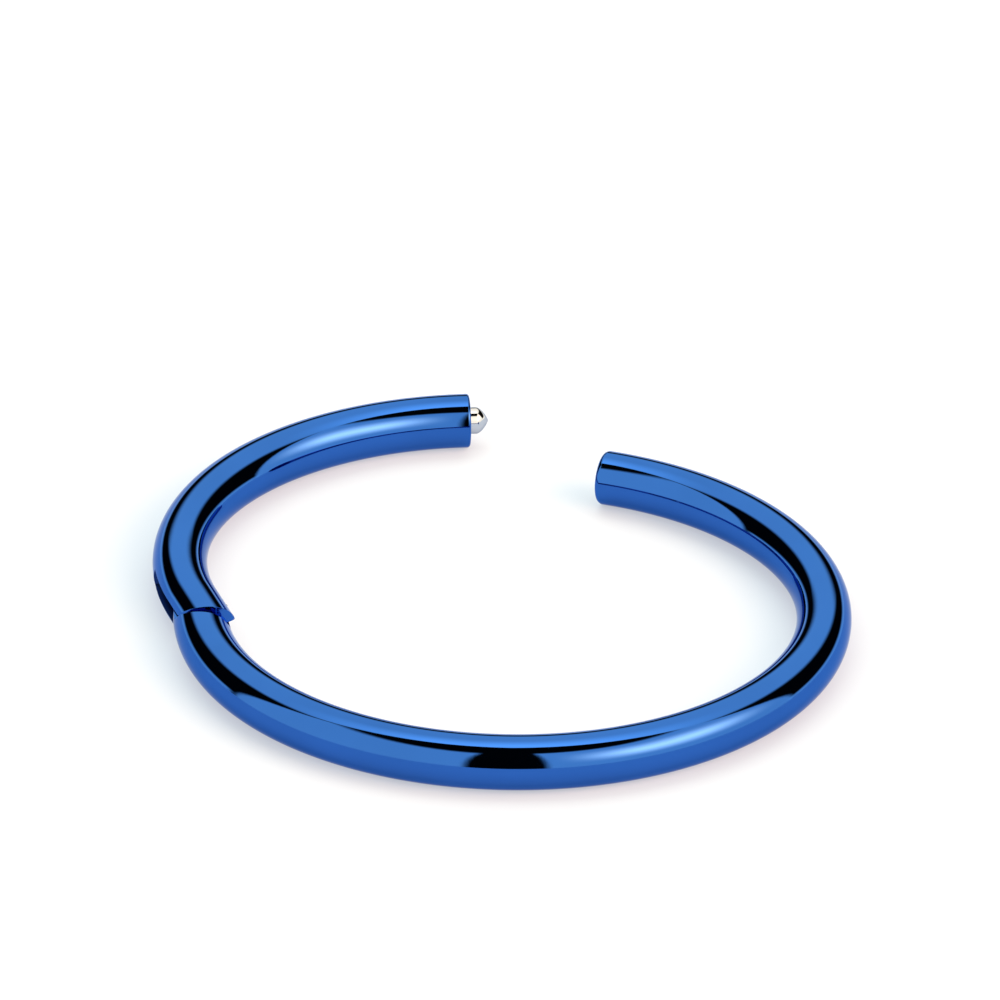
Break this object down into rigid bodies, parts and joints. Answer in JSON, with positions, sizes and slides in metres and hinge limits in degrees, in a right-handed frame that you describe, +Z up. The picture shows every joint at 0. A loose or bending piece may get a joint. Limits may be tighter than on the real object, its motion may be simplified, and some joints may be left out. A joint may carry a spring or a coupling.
{
  "type": "hinged segment nose ring",
  "caption": "Round wire ring for a piercing, in two segments: a fixed arc and a gate that swings out on a hidden hinge and shuts with a domed pin in a socket.",
  "frame": {"origin": "on the surface that the ring lies on, under the middle of the box of the ring with its gate open", "axes": "+Z up, along the ring's axis and its hinge's axis; +X to the right of the picture; +Y away from its camera; the hinge is on the -X side and the open clasp towards +Y"},
  "size_m": [0.0128, 0.0142, 0.001],
  "materials": {
    "blue_metal": "mirror-polished saturated blue metal",
    "silver_metal": "mirror-polished plain steel"
  },
  "bodies": {
    "fixed": {"fixed_segment": "blue_metal"},
    "gate": {"gate_segment": "blue_metal", "hinge_pin": "silver_metal", "clasp_pin": "silver_metal"}
  },
  "joints": [
    {"name": "gate_hinge", "type": "hinge", "parent": "fixed", "child": "gate", "pos_m": [-0.00554, -0.00116, 0.0005], "axis": [0, 0, 1], "range_deg": [-20.4, 39.6]}
  ]
}
